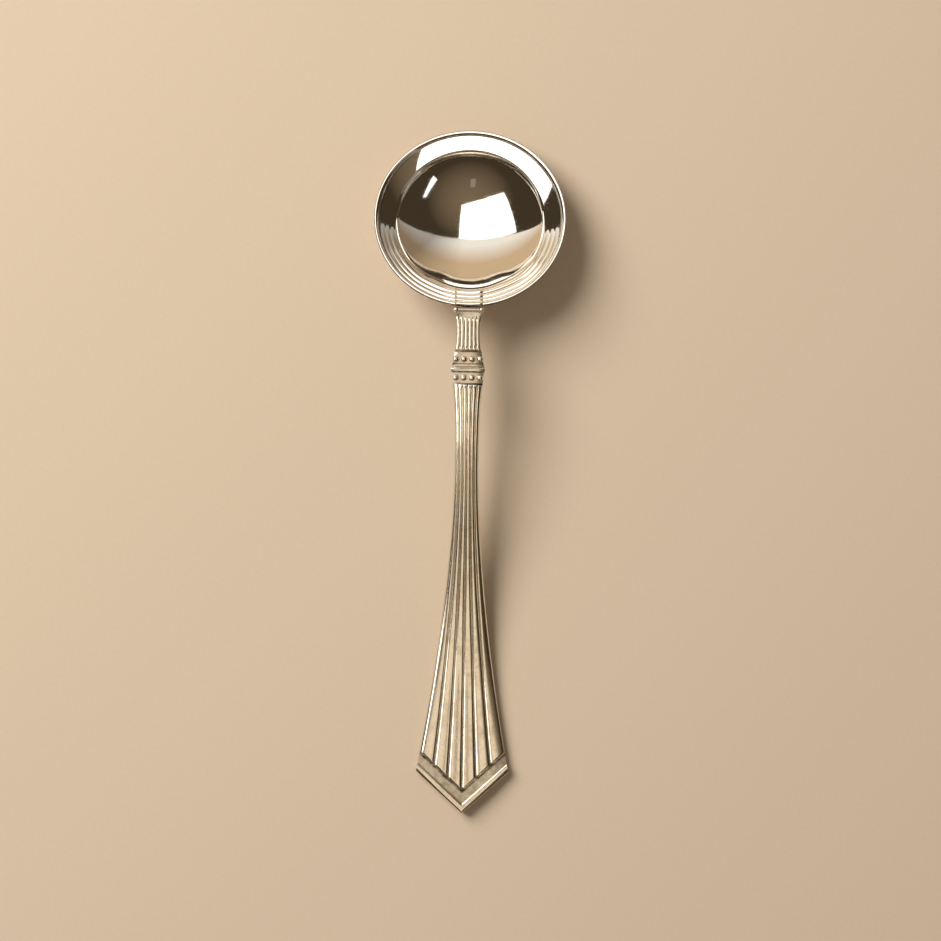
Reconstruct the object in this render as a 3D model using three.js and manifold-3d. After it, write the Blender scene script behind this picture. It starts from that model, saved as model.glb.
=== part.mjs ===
// A silver sauce ladle, lying as it rests on a table: an oval bowl with a reeded flange at +Y,
// a low arched neck with a beaded collar, and a hollow reeded handle that fans out to a chevron tip at -Y.
// Millimetres, +Z up. The origin is the centre of the ladle's outline, on the table.
import * as THREE from "three";
import { mergeVertices } from "three/addons/utils/BufferGeometryUtils.js";
import Module from "manifold-3d";

const wasm = await Module();
wasm.setup();

// ---------- driving dimensions ----------

const LADLE_LENGTH = 180; // far rim to chevron point, as it lies
const solderFilm = 0.05; // gap kept between two pieces that are soldered together

// Bowl, in its own frame: the rim lies in its plane, and the bowl's axis points up out of it.
const bowlWidth = 50.1; // across the ladle
const bowlLength = 48; // along the ladle, in the rim's plane
const bowlTilt = 12; // degrees that the rim leans away from the handle as the ladle lies
const flangeWidth = 5.65; // lip of the basin to the outer edge
const flangeRise = 2.15; // the same, in height, on average round the bowl
const flangeRiseToHandle = 0.9; // how much more it rises at the handle, and less at the far end
const flangeRiseAtSides = 0.85; // how much more it rises at the sides, and less at both ends
const flangeLipSlope = 18; // degrees: the flange's slope at the lip, from where it steepens outwards
const basinEdgeInset = 0.5; // the basin's edge is this far inside the lip
const basinEdgeBelow = 3.3; // and this far below the rim
const basinDepth = 6.45; // below its edge
const bowlWall = 0.9;
const lipRadius = 0.45; // the rounded edge between basin and flange
const bowlFootRadius = 4.5; // flat spot that the bowl stands on
const bowlReedCount = 3; // reeds on the flange beside the handle
const bowlReedHeight = 0.28;
const bowlReedReach = 88; // degrees from the handle to where the reeds have faded away
const lipPinch = 0.3; // how far the lip is drawn in on each side of the handle
const lipPinchPlace = 25; // degrees from the handle where that is deepest

// Rim wire: the half-round bead soldered along the flange's outer edge.
const wireWidth = 1.4;
const wireHeight = 0.62; // above the flange
const wireSkirt = 0.45; // how far the wire hangs down over the flange's edge

// Saddle: the reeded strap that laps from the neck over the rim.
const saddleWidth = 7.2;
const saddleThickness = 0.5;
const saddleReedHeight = 0.22;

// Shoulder bar: the turned bar with ball ends across the joint of neck and rim.
const barRadius = 0.5;
const barBallRadius = 0.72;

// Heel: the tongue that carries the bowl from below.
const heelWidth = 5.6; // at the neck
const heelTipWidth = 3.0;
const heelThickness = 1.2;
const heelReach = 26; // degrees down the basin's wall, counted from the bowl's axis

// Neck and tang.
const neckRootWidth = 6.9;
const neckWaistWidth = 5.8;
const neckEndWidth = 6.9;
const neckLength = 11.45; // rim to collar
const neckTop = 1.85; // crest of the neck above the spine
const neckBelow = 1.9; // its underside below the spine
const neckRootBelow = 2.75; // the same where it meets the heel
const neckReedHeight = 0.28;
const neckPlainLength = 2.2; // smooth stretch between the bar and the reeds
const tangWidth = 3.0;
const tangThickness = 1.5;
const tangTipWidth = 1.8;
const tangReach = 48; // length inside the hollow handle
const tangFit = 0.12; // clearance round the tang in collars and filler

// Collar: two beaded bands with a ring between them.
const upperBandLength = 3.95;
const lowerBandLength = 2.85;
const ringLength = 1.3;
const ringWidth = 8.8;
const ringTop = 2.6;
const ringBelow = 2.5;
const bandTop = 2.1;
const bandBelow = 2.15;
const lowerBandWidth = 8.2;
const bandCamber = 0.55; // how far a band's top falls towards its sides
const coveDepth = 0.35; // hollow between the upper band and the ring
const beadCount = 4; // in each row
const beadDiameter = 1.66;
const beadHeight = 0.75;
const beadPitch = 2.1;

// Handle: a front and a back shell, soldered along the seam.
const handleMouthWidth = 7.8; // at the collar
const handleWaistWidth = 6.2;
const handleShoulderWidth = 24.4; // widest, at the chevron's corners
const handleWaistFrom = 20.4; // collar to waist
const handleFlare = 1.7; // power of the widening curve: 1 is straight sides
const chevronAngle = 41.7; // degrees from straight across to each arm of the tip
const chevronFade = 38; // length over which the shells' rows turn from straight to chevron
const shellWall = 0.55;
const sideWall = 0.8; // height of the front shell's side above the seam
const waistCrown = 0.95; // how far the front shell bulges at the waist
const tipCrown = 1.0; // and at the tip
const crownPower = 2.5; // how much of the bulge is kept for the edges: 2 is an even curve
const mouthBack = 1.9; // depth of the back shell below the seam at the collar
const tipBack = 1.15; // and at the tip
const backEdgeRound = 0.35; // share of the half width that rounds off the back's edges
const reedCount = 6;
const reedHeight = 0.42;
const reedShoulder = 0.15; // share of a reed's pitch that its sloping side takes
const chevronBandWidth = 2.1; // flat band between the reeds' ends and the tip moulding
const tipMouldingWidth = 1.75;
const tipMouldingHeight = 0.55;
const fillerFit = 0.12; // gap between the shells and the cement inside
const restLength = 30; // stretch of the handle that lies flat on the table

// Height of the seam line.
const neckSeat = 2.2; // of the neck's root below the rim's edge
const neckFall = 0.0045; // how fast the neck bends down towards the rim, 1/mm

// How finely the pieces are cut.
const roundSteps = 64;
const alongSteps = 24;
const arcSteps = 9;

// ---------- helpers ----------

const rad = THREE.MathUtils.degToRad;
const { clamp, lerp, smoothstep } = THREE.MathUtils;

// A closed solid from a box: u, v and k run from 0 to 1 along x, y and z, and place says where each point goes.
function block(stepsAcross, stepsAlong, place, stepsUp = 1) {
  const box = new THREE.BoxGeometry(1, 1, 1, stepsAcross, stepsAlong, stepsUp);
  return moved(box, (x, y, z) => place(x + 0.5, y + 0.5, z + 0.5));
}

// The geometry with every vertex moved by place, its shared vertices merged.
function moved(geometry, place) {
  geometry.deleteAttribute("normal");
  geometry.deleteAttribute("uv");
  const points = geometry.getAttribute("position");
  for (let i = 0; i < points.count; i++) {
    points.setXYZ(i, ...place(points.getX(i), points.getY(i), points.getZ(i)));
  }
  return mergeVertices(geometry, 1e-4);
}

function toSolid(geometry) {
  return new wasm.Manifold(
    new wasm.Mesh({
      numProp: 3,
      vertProperties: new Float32Array(geometry.getAttribute("position").array),
      triVerts: new Uint32Array(geometry.index.array),
    }),
  );
}

function toGeometry(solid) {
  const mesh = solid.getMesh();
  const geometry = new THREE.BufferGeometry();
  geometry.setAttribute("position", new THREE.BufferAttribute(mesh.vertProperties, 3));
  geometry.setIndex(new THREE.BufferAttribute(mesh.triVerts, 1));
  return geometry;
}

const without = (geometry, cutter) => toGeometry(toSolid(geometry).subtract(toSolid(cutter)));
const joined = (a, b) => toGeometry(toSolid(a).add(toSolid(b)));

// ---------- the bowl's frame and surfaces ----------

const rimRadius = bowlWidth / 2;
const lipPlace = rimRadius - flangeWidth; // radius of the lip
const ovalShare = bowlLength / bowlWidth;
const basinEdge = lipPlace - basinEdgeInset;
const basinRadius = (basinEdge ** 2 + basinDepth ** 2) / (2 * basinDepth);
const basinCentre = basinRadius - basinDepth - basinEdgeBelow; // height of the basin's centre over the rim plane
const footSink = basinRadius + bowlWall - Math.sqrt((basinRadius + bowlWall) ** 2 - bowlFootRadius ** 2);
const rimHeight = basinRadius + bowlWall - footSink - basinCentre * Math.cos(rad(bowlTilt));
const rimCentre = LADLE_LENGTH / 2 - (bowlLength / 2) * Math.cos(rad(bowlTilt));

// A point of the bowl's own frame, where across is +X, forth runs away from the handle and up is the bowl's axis.
function fromBowl(across, forth, up) {
  const tilt = rad(bowlTilt);
  return [
    across,
    rimCentre + forth * Math.cos(tilt) + up * Math.sin(tilt),
    rimHeight - forth * Math.sin(tilt) + up * Math.cos(tilt),
  ];
}

// The other way round, on the ladle's centre line: the bowl's radius and height at a y and z beside the neck.
function besideNeck(y, z) {
  const tilt = rad(bowlTilt);
  const forth = (y - rimCentre) * Math.cos(tilt) - (z - rimHeight) * Math.sin(tilt);
  const up = (y - rimCentre) * Math.sin(tilt) + (z - rimHeight) * Math.cos(tilt);
  return [-forth / ovalShare, up];
}

// How far the lip stands above its average height, at an angle (radians) away from the handle, and what is left
// of that at a radius: nothing at the rim's edge or in the basin.
function sway(radius, fromHandle) {
  const atLip = flangeRiseAtSides * Math.cos(2 * fromHandle) - flangeRiseToHandle * Math.cos(fromHandle);
  const outwards = 1 - clamp((radius - lipPlace) / flangeWidth, 0, 1);
  const inwards = clamp((radius - basinEdge) / basinEdgeInset, 0, 1);
  return atLip * Math.min(outwards, inwards);
}

// The flange's smooth top at a radius, on average round the bowl: a shallow curve that steepens outwards.
function flangeTop(radius) {
  const t = (radius - lipPlace) / flangeWidth;
  const even = flangeWidth * Math.tan(rad(flangeLipSlope)); // what it would rise at the lip's slope
  return -flangeRise + even * t + (flangeRise - even) * t * t;
}

// Its underside: a wall's thickness below, or the basin's outside where that hangs lower.
function flangeUnder(radius) {
  const basinOutside = basinCentre - Math.sqrt((basinRadius + bowlWall) ** 2 - radius ** 2);
  return Math.min(flangeTop(radius) - bowlWall, basinOutside);
}
const flangeUnderSteps = 4;

const wireInner = rimRadius - wireWidth;

// Share of the reeds' full height at an angle (radians) away from the handle.
const reedFade = (fromHandle) =>
  Math.abs(fromHandle) < rad(bowlReedReach) ? Math.cos((fromHandle / rad(bowlReedReach)) * (Math.PI / 2)) : 0;

// Height that the reeds add to the flange.
function flangeReeds(radius, fromHandle) {
  const t = (radius - lipPlace - lipRadius) / (wireInner - lipPlace - lipRadius);
  if (t <= 0 || t >= 1) return 0;
  return bowlReedHeight * reedFade(fromHandle) * Math.abs(Math.sin(Math.PI * bowlReedCount * t));
}

// The bowl's closed section, from the inside of the basin over the flange and back underneath: [radius, height].
function bowlSection() {
  const lipAngle = Math.asin(basinEdge / basinRadius);
  const inside = [];
  for (let i = 0; i <= arcSteps; i++) {
    const angle = (lipAngle * i) / arcSteps;
    inside.push([basinRadius * Math.sin(angle), basinCentre - basinRadius * Math.cos(angle)]);
  }
  inside[0][0] = 0;
  const over = [];
  const flangeSteps = bowlReedCount * 2;
  for (let i = 0; i <= flangeSteps; i++) {
    const radius = lerp(lipPlace + lipRadius, wireInner, i / flangeSteps);
    over.push([radius, flangeTop(radius)]);
  }
  const edge = rimRadius - solderFilm - 0.3;
  over.push([edge, flangeTop(edge)]);
  const under = [];
  for (let i = 0; i < flangeUnderSteps; i++) {
    const radius = lerp(edge, lipPlace + bowlWall, i / flangeUnderSteps);
    under.push([radius, flangeUnder(radius)]);
  }
  const outer = basinRadius + bowlWall;
  const join = Math.asin((lipPlace + bowlWall) / outer);
  for (let i = arcSteps; i >= 0; i--) {
    const angle = (join * i) / arcSteps;
    under.push([outer * Math.sin(angle), basinCentre - outer * Math.cos(angle)]);
  }
  under[under.length - 1][0] = 0;
  return [...inside, ...over, ...under].reverse();
}

// How far a place is drawn in beside the handle: most at the lip, fading towards the rim and down the basin.
function pinch(radius, fromHandle) {
  const onFlange = radius > lipPlace;
  const nearLip = onFlange ? 1 - (radius - lipPlace) / flangeWidth : smoothstep(radius, lipPlace / 2, lipPlace);
  const beside = (Math.abs(fromHandle) - rad(lipPinchPlace)) / rad(11);
  return lipPinch * clamp(nearLip, 0, 1) * Math.exp(-(beside ** 2));
}

// A section turned round the bowl's axis, stretched to the oval, with the reeds raised beside the handle.
function turnedOnBowl(section, lift = () => 0) {
  const outline = section.map(([radius, height]) => new THREE.Vector2(radius, height));
  const turned = new THREE.LatheGeometry(outline, roundSteps);
  return moved(turned, (x, height, z) => {
    const radius = Math.hypot(x, z);
    const fromHandle = Math.atan2(x, z);
    const raised = height + sway(radius, fromHandle) + lift(radius, fromHandle, height);
    return fromBowl(x, -z * ovalShare + pinch(radius, fromHandle), raised);
  });
}

// The point at a place across the ladle and a radius, on the handle's side of the bowl.
function besideHandle(across, radius, up) {
  const fromHandle = Math.asin(across / radius);
  const forth = -radius * Math.cos(fromHandle) * ovalShare + pinch(radius, fromHandle);
  return fromBowl(across, forth, up + sway(radius, fromHandle));
}

function bowlGeometry() {
  const onTop = (radius, height) => Math.abs(height - flangeTop(radius)) < 1e-3;
  const shell = turnedOnBowl(bowlSection(), (radius, fromHandle, height) =>
    onTop(radius, height) ? flangeReeds(radius, fromHandle) : 0,
  );
  const belowTable = new THREE.BoxGeometry(bowlWidth, bowlLength, 4);
  return without(shell, moved(belowTable, (x, y, z) => [x, y + rimCentre, z - 2]));
}

// Half-round bead with a skirt over the flange's edge.
function rimWireGeometry() {
  const seat = (radius) => flangeTop(Math.min(radius, rimRadius)) + solderFilm;
  const section = [[rimRadius - 0.3 + solderFilm, seat(rimRadius - 0.3)]];
  section.push([rimRadius - 0.3 + solderFilm, seat(rimRadius - 0.3) - wireSkirt]);
  section.push([rimRadius, seat(rimRadius - 0.3) - wireSkirt]);
  const steps = 6;
  for (let i = 0; i <= steps; i++) {
    const angle = (Math.PI * i) / steps;
    const radius = rimRadius - wireWidth / 2 + (wireWidth / 2) * Math.cos(angle);
    section.push([radius, seat(radius) + 0.06 + wireHeight * Math.sin(angle)]);
  }
  section.push([wireInner, seat(wireInner)]);
  section.push(section[0]);
  return turnedOnBowl(section);
}

// The strap that laps over the rim: reeds on top, clear of the flange's reeds and the wire below.
function saddleGeometry() {
  const inner = lipPlace + lipRadius + 0.1;
  const outer = rimRadius - 0.05;
  const clearOf = (radius) => {
    const overWire = radius > wireInner - 0.25 ? wireHeight + 0.06 + 2 * solderFilm : 0;
    return flangeTop(radius) + Math.max(bowlReedHeight + solderFilm, overWire);
  };
  return block(10, 16, (u, v, k) => {
    const across = (u - 0.5) * saddleWidth;
    const radius = lerp(outer, inner, v);
    const reeds = saddleReedHeight * Math.abs(Math.sin(Math.PI * (bowlReedCount + 1) * v));
    const up = clearOf(radius) + k * (saddleThickness + reeds);
    return besideHandle(across, radius, up);
  });
}

// ---------- the spine of neck and handle ----------

const neckRootY = fromBowl(0, -bowlLength / 2, -2 * wireSkirt)[1] - solderFilm; // clear of the wire's skirt
const neckEndY = neckRootY - neckLength;
const upperBandEndY = neckEndY - upperBandLength;
const ringStartY = upperBandEndY - solderFilm;
const ringEndY = ringStartY - ringLength;
const lowerBandEndY = ringEndY - solderFilm - lowerBandLength;
const mouthY = lowerBandEndY - solderFilm;
const pointY = -LADLE_LENGTH / 2;
const shoulderRise = (handleShoulderWidth / 2) * Math.tan(rad(chevronAngle));
const cornerY = pointY + shoulderRise;
const restEndY = cornerY + restLength - shoulderRise;
const rimEdgeHeight = fromBowl(0, -bowlLength / 2, 0)[2];
const spineCrest = rimEdgeHeight - neckSeat + neckFall * (neckRootY - ringEndY) ** 2; // at the collar

// Height of the seam line: flat over the resting stretch, an even swing up to the collar, then down to the rim.
function spine(y) {
  if (y > ringEndY) return spineCrest - neckFall * (y - ringEndY) ** 2;
  return lerp(tipBack + solderFilm / 2, spineCrest, smoothstep(y, restEndY, ringEndY));
}

const onSpine = (across, y, height) => [across, y, spine(y) + height];

// ---------- shoulder bar, heel, neck ----------

// The bar lies in the corner where the saddle's end meets the neck's top.
function shoulderBarGeometry() {
  const halfLength = saddleWidth / 2 + barBallRadius * 0.6;
  const profile = [[0, -halfLength]];
  const ballSteps = 4;
  for (let i = 1; i <= ballSteps; i++) {
    const angle = (Math.PI * i) / (ballSteps + 1);
    profile.push([barBallRadius * Math.sin(angle), -halfLength + barBallRadius * (1 - Math.cos(angle))]);
  }
  profile.push([barRadius, -halfLength + barBallRadius * 2]);
  const other = profile.map(([radius, place]) => [radius, -place]).reverse();
  const outline = [...profile, ...other].map(([radius, place]) => new THREE.Vector2(radius, place));
  const turned = new THREE.LatheGeometry(outline, 14);
  const centreY = neckRootY - barRadius - solderFilm;
  const centreZ = spine(centreY) + neckTop + barRadius + solderFilm;
  return moved(turned, (x, along, z) => [along, centreY - x, centreZ + z]);
}

// The tongue under the flange and down the basin's outside.
function heelGeometry() {
  const outer = basinRadius + bowlWall + solderFilm;
  const join = Math.asin((lipPlace + bowlWall) / outer);
  const stops = [];
  for (let i = 0; i <= 6; i++) {
    const angle = lerp(rad(heelReach), join, i / 6);
    const thick = heelThickness * lerp(0.35, 1, i / 6);
    const near = [outer * Math.sin(angle), basinCentre - outer * Math.cos(angle)];
    const far = [near[0] + thick * Math.sin(angle), near[1] - thick * Math.cos(angle)];
    stops.push([near, far]);
  }
  const lastFar = stops[stops.length - 1][1];
  const edge = rimRadius - solderFilm - 0.35;
  const neckFoot = besideNeck(neckRootY + 4 * solderFilm, spine(neckRootY) - neckRootBelow);
  for (let i = 1; i <= flangeUnderSteps; i++) {
    const share = i / flangeUnderSteps;
    const radius = lerp(lipPlace + bowlWall, edge, share);
    const near = [radius, flangeUnder(radius) - 2 * solderFilm - 0.04];
    const far = [lerp(lastFar[0], neckFoot[0], share), lerp(lastFar[1], neckFoot[1], share)];
    stops.push([near, far]);
  }
  const last = stops.length - 1;
  return block(8, last, (u, v, k) => {
    const i = Math.round(v * last);
    const [near, far] = stops[i];
    const width = lerp(heelTipWidth, heelWidth, Math.sqrt(i / last));
    const side = 2 * u - 1;
    const across = (side * width) / 2;
    const rounded = k * Math.sqrt(1 - 0.75 * side ** 2);
    const radius = lerp(near[0], far[0], rounded);
    const up = lerp(near[1], far[1], rounded);
    return besideHandle(across, radius, up);
  });
}

// Reeds across a piece: for column i of a block, the place across (0 to 1) and the height of the relief (0 to 1).
const columnsPerReed = 3;
function reedColumn(i) {
  const reed = Math.floor(i / columnsPerReed);
  const [share, height] = [[0, 0], [reedShoulder, 1], [1 - reedShoulder, 1]][i % columnsPerReed];
  return [(reed + share) / reedCount, height];
}

// A bar along the spine. widthAt and heights are functions of y; relief is the reeds' height at y.
function spineBar(startY, endY, steps, widthAt, topAt, belowAt, camber, reliefAt) {
  const columns = reedCount * columnsPerReed;
  return block(columns, steps, (u, v, k) => {
    const y = lerp(endY, startY, v);
    const [share, reed] = reedColumn(Math.round(u * columns));
    const side = 2 * share - 1;
    const half = widthAt(y) / 2;
    const top = topAt(y) - camber * side ** 2 + reliefAt(y) * (reed - 1);
    const below = belowAt(y) * Math.sqrt(1 - 0.6 * side ** 4);
    return onSpine(side * half, y, k ? top : -below);
  });
}

function neckGeometry() {
  const neckWidth = (y) => {
    const t = (neckRootY - y) / neckLength;
    const rootFlare = (neckRootWidth - neckWaistWidth) * (1 - t) ** 3;
    const endFlare = (neckEndWidth - neckWaistWidth) * t ** 4;
    return neckWaistWidth + rootFlare + endFlare;
  };
  const below = (y) => lerp(neckBelow, neckRootBelow, ((y - neckEndY) / neckLength) ** 2);
  const relief = (y) => neckReedHeight * smoothstep(neckRootY - y, neckPlainLength - 1, neckPlainLength + 1);
  const bar = spineBar(neckRootY, neckEndY, 12, neckWidth, () => neckTop, below, 0.3, relief);
  return joined(bar, tangGeometry(0));
}

// The tang, grown by a clearance all round where it cuts its own hole.
function tangGeometry(grown) {
  const tipY = mouthY - tangReach;
  return block(1, 20, (u, v, k) => {
    const y = lerp(tipY - grown, neckEndY + 1 + grown, v);
    const t = clamp((y - tipY) / (mouthY - tipY), 0, 1);
    const half = lerp(tangTipWidth, tangWidth, t) / 2 + grown;
    const thick = tangThickness / 2 + grown;
    return onSpine((2 * u - 1) * half, y, (2 * k - 1) * thick);
  });
}

// ---------- collar ----------

function bandBlock(startY, endY, widthAt, topAt, belowAt, steps) {
  return block(12, steps, (u, v, k) => {
    const y = lerp(endY, startY, v);
    const side = 2 * u - 1;
    const height = k ? topAt(y) - bandCamber * side ** 2 : -belowAt(y) * Math.sqrt(1 - 0.6 * side ** 4);
    return onSpine((side * widthAt(y)) / 2, y, height);
  });
}

const upperBandWidth = (y) => lerp(ringWidth - 0.3, neckEndWidth, ((y - upperBandEndY) / upperBandLength) ** 0.8);
const beadTop = (y) => bandTop - coveDepth * (1 - smoothstep(y, upperBandEndY + 0.3, upperBandEndY + 1.3));

function upperBandGeometry() {
  const band = bandBlock(neckEndY - solderFilm, upperBandEndY, upperBandWidth, beadTop, () => bandBelow, 7);
  return without(band, tangGeometry(tangFit));
}

function lowerBandGeometry() {
  const width = (y) => lerp(handleMouthWidth, lowerBandWidth, (y - lowerBandEndY) / lowerBandLength);
  const band = bandBlock(ringEndY - solderFilm, lowerBandEndY, width, () => bandTop, () => bandBelow, 3);
  return without(band, tangGeometry(tangFit));
}

// The ring is rounded along the ladle, like a wire bent round the collar.
function ringGeometry() {
  const ring = bandBlock(
    ringStartY,
    ringEndY,
    (y) => ringWidth - 0.5 * (1 - swell(y)),
    (y) => ringTop - 0.4 * (1 - swell(y)),
    (y) => ringBelow - 0.4 * (1 - swell(y)),
    6,
  );
  return without(ring, tangGeometry(tangFit));
}
const swell = (y) => Math.sqrt(Math.max(0, 1 - (2 * (y - ringEndY) / ringLength - 1) ** 2));

// One round bead on a band's cambered top.
function beadGeometry(across, y, bandHalf, top) {
  const outline = [[0, 0]];
  const steps = 5;
  for (let i = 0; i <= steps; i++) {
    const angle = (Math.PI / 2) * (i / steps);
    outline.push([(beadDiameter / 2) * Math.cos(angle), beadHeight * Math.sin(angle)]);
  }
  outline[outline.length - 1][0] = 0;
  const dome = new THREE.LatheGeometry(outline.map(([radius, height]) => new THREE.Vector2(radius, height)), 16);
  const nearSide = Math.max(0, Math.abs(across) - beadDiameter / 2) / bandHalf;
  const seat = top - bandCamber * nearSide ** 2 + solderFilm;
  const lift = spine(y) - spine(y + beadDiameter / 2);
  return moved(dome, (x, up, z) => [across - x, y + z, spine(y) + seat + up + Math.max(0, -lift)]);
}

// ---------- handle ----------

const handleLength = mouthY - cornerY;

// Half width of the handle where its edge is at y.
function halfWidth(y) {
  const fromMouth = clamp(mouthY - y, 0, handleLength);
  const waist = handleWaistWidth / 2;
  if (fromMouth < handleWaistFrom) {
    return waist + (handleMouthWidth / 2 - waist) * (1 - fromMouth / handleWaistFrom) ** 3;
  }
  const flare = ((fromMouth - handleWaistFrom) / (handleLength - handleWaistFrom)) ** handleFlare;
  return waist + (handleShoulderWidth / 2 - waist) * flare;
}

const armRise = Math.tan(rad(chevronAngle));
const reedEndEdge = cornerY + (tipMouldingWidth + chevronBandWidth) / Math.cos(rad(chevronAngle)) * 0.98;

// Rows run straight across at the collar and bend into the chevron towards the tip.
// A row is named by its edge's y.
function rowPlace(edgeY, side) {
  const bend = smoothstep(-edgeY, -(reedEndEdge + chevronFade), -reedEndEdge);
  return edgeY - bend * halfWidth(edgeY) * armRise * (1 - Math.abs(side));
}

// Share of the way from waist thickness to tip thickness.
const towardsTip = (y) => smoothstep(-y, -(mouthY - handleLength * 0.3), -cornerY);
const crown = (y) => lerp(waistCrown, tipCrown, towardsTip(y));
const backDepth = (y) => lerp(mouthBack, tipBack, towardsTip(Math.max(y, restEndY)) / towardsTip(restEndY));
const ground = (side, y) => sideWall + crown(y) * (1 - Math.abs(side) ** crownPower);

// The rows behind the chevron band, tip first: [edge y, share of the reeds' height].
function reededRows() {
  const rows = [[reedEndEdge - 0.35, 0]];
  for (let i = 0; i <= alongSteps; i++) rows.push([lerp(reedEndEdge, mouthY - 1.2, i / alongSteps), 1]);
  rows.push([mouthY, 0.35]);
  return rows;
}

// The same row on the inside of a shell, kept a wall's thickness behind the tip.
const tipWall = shellWall / Math.cos(rad(chevronAngle));
const insideOf = (edgeY) =>
  edgeY < reedEndEdge ? lerp(cornerY + tipWall, reedEndEdge, (edgeY - cornerY) / (reedEndEdge - cornerY)) : edgeY;

function frontShellGeometry() {
  const rows = [[cornerY, 0], [cornerY, 0], ...reededRows()]; // the first runs along the seam
  const reedColumns = reedCount * columnsPerReed;
  const columns = reedColumns + 2; // one more on each side, down the side wall
  return block(columns, rows.length - 1, (u, v, k) => {
    const row = Math.round(v * (rows.length - 1));
    const [edgeY, raised] = rows[row];
    const column = Math.round(u * columns);
    const atSeam = row === 0 || column === 0 || column === columns;
    const [share, reed] = reedColumn(clamp(column - 1, 0, reedColumns));
    const side = 2 * share - 1;
    const inset = k ? 1 : 1 - shellWall / halfWidth(edgeY);
    const y = rowPlace(k ? edgeY : insideOf(edgeY), side);
    const across = side * halfWidth(edgeY) * inset;
    if (atSeam) return onSpine(across, y, solderFilm / 2);
    const relief = reedHeight * raised * reed;
    const height = k ? ground(side, y) + relief : ground(side, y) - shellWall;
    return onSpine(across, y, height);
  });
}

// Section of the back: flat in the middle, rounded off towards the seam.
const backRound = (side) => Math.sqrt(Math.min(1, (1 - Math.abs(side)) / backEdgeRound));

function backShellGeometry() {
  const rounding = [[0, 0], [0, 0.55], [0.45, 0.88], [1.2, 1]];
  const rows = rounding.map(([back, share]) => [cornerY + back, share]);
  rows.push(...reededRows().map(([edgeY]) => [edgeY, 1]));
  const columns = 14;
  return block(columns, rows.length - 1, (u, v, k) => {
    const [edgeY, share] = rows[Math.round(v * (rows.length - 1))];
    const side = 2 * u - 1;
    const inset = k ? 1 - shellWall / halfWidth(edgeY) : 1;
    const y = rowPlace(k ? insideOf(edgeY) : edgeY, side);
    const depth = Math.max(0, backDepth(y) * share - (k ? shellWall : 0)) * backRound(side);
    return onSpine(side * halfWidth(edgeY) * inset, y, -depth - solderFilm / 2);
  });
}

// The cement that fills the hollow handle round the tang.
function fillerGeometry() {
  const rows = reededRows();
  const columns = 10;
  const filling = block(columns, rows.length - 1, (u, v, k) => {
    const [edgeY] = rows[Math.round(v * (rows.length - 1))];
    const side = 2 * u - 1;
    const half = halfWidth(edgeY) - shellWall - fillerFit;
    const y = rowPlace(edgeY, side);
    const front = ground(side, y) - shellWall - fillerFit;
    const back = Math.max(0.02, (backDepth(y) - shellWall) * backRound(side) - fillerFit);
    return onSpine(side * half, Math.min(y, mouthY - fillerFit), k ? front : -back);
  });
  return without(filling, tangGeometry(tangFit));
}

// The half-round moulding soldered along both arms of the chevron.
function tipMouldingGeometry() {
  const columns = 12;
  const steps = 6;
  const innerEdge = cornerY + tipMouldingWidth / Math.cos(rad(chevronAngle));
  return block(columns, steps, (u, v, k) => {
    const side = 2 * u - 1;
    const edgeY = lerp(cornerY, innerEdge, v);
    const half = halfWidth(edgeY);
    const y = edgeY - half * armRise * (1 - Math.abs(side));
    const bulge = Math.sqrt(Math.max(0, 1 - (2 * v - 1) ** 2));
    const height = ground(side, y) + solderFilm + k * (0.1 + tipMouldingHeight * bulge);
    return onSpine(side * half, y, height);
  });
}

// ---------- materials ----------

const silver = (name, shade, roughness) =>
  new THREE.MeshStandardMaterial({ name, color: shade, metalness: 1, roughness });
const polishedSilver = silver("polished_silver", "#d9d4c8", 0.08);
const wornSilver = silver("worn_silver", "#c9c0ae", 0.22);
const oxidisedSilver = silver("oxidised_silver", "#a89f8c", 0.35);
const cement = new THREE.MeshStandardMaterial({ name: "resin_cement", color: "#5a4330", roughness: 0.9 });

// ---------- assembly ----------

const ladle = new THREE.Group();
ladle.name = "sauce_ladle";

function add(name, geometry, material) {
  const mesh = new THREE.Mesh(geometry, material);
  mesh.name = name;
  ladle.add(mesh);
}

add("bowl", bowlGeometry(), polishedSilver);
add("rim_wire", rimWireGeometry(), polishedSilver);
add("rim_saddle", saddleGeometry(), polishedSilver);
add("shoulder_bar", shoulderBarGeometry(), polishedSilver);
add("bowl_heel", heelGeometry(), polishedSilver);
add("neck_and_tang", neckGeometry(), wornSilver);
add("upper_collar_band", upperBandGeometry(), oxidisedSilver);
add("collar_ring", ringGeometry(), wornSilver);
add("lower_collar_band", lowerBandGeometry(), oxidisedSilver);

const upperBeadY = upperBandEndY + 2;
const lowerBeadY = lowerBandEndY + lowerBandLength / 2;
for (let i = 0; i < beadCount; i++) {
  const across = (i - (beadCount - 1) / 2) * beadPitch;
  const upperHalf = upperBandWidth(upperBeadY) / 2;
  add("upper_bead_" + (i + 1), beadGeometry(across, upperBeadY, upperHalf, bandTop), wornSilver);
  add("lower_bead_" + (i + 1), beadGeometry(across, lowerBeadY, lowerBandWidth / 2, bandTop), wornSilver);
}

add("handle_front_shell", frontShellGeometry(), wornSilver);
add("handle_back_shell", backShellGeometry(), wornSilver);
add("handle_cement", fillerGeometry(), cement);
add("tip_moulding", tipMouldingGeometry(), wornSilver);

export default ladle;
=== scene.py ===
"""A silver sauce ladle, lying on pale paper in soft studio light.

Sizes are in millimetres until a point is placed. +Y runs from the handle's tip to the bowl and +Z is up.
"""

import math

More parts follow.
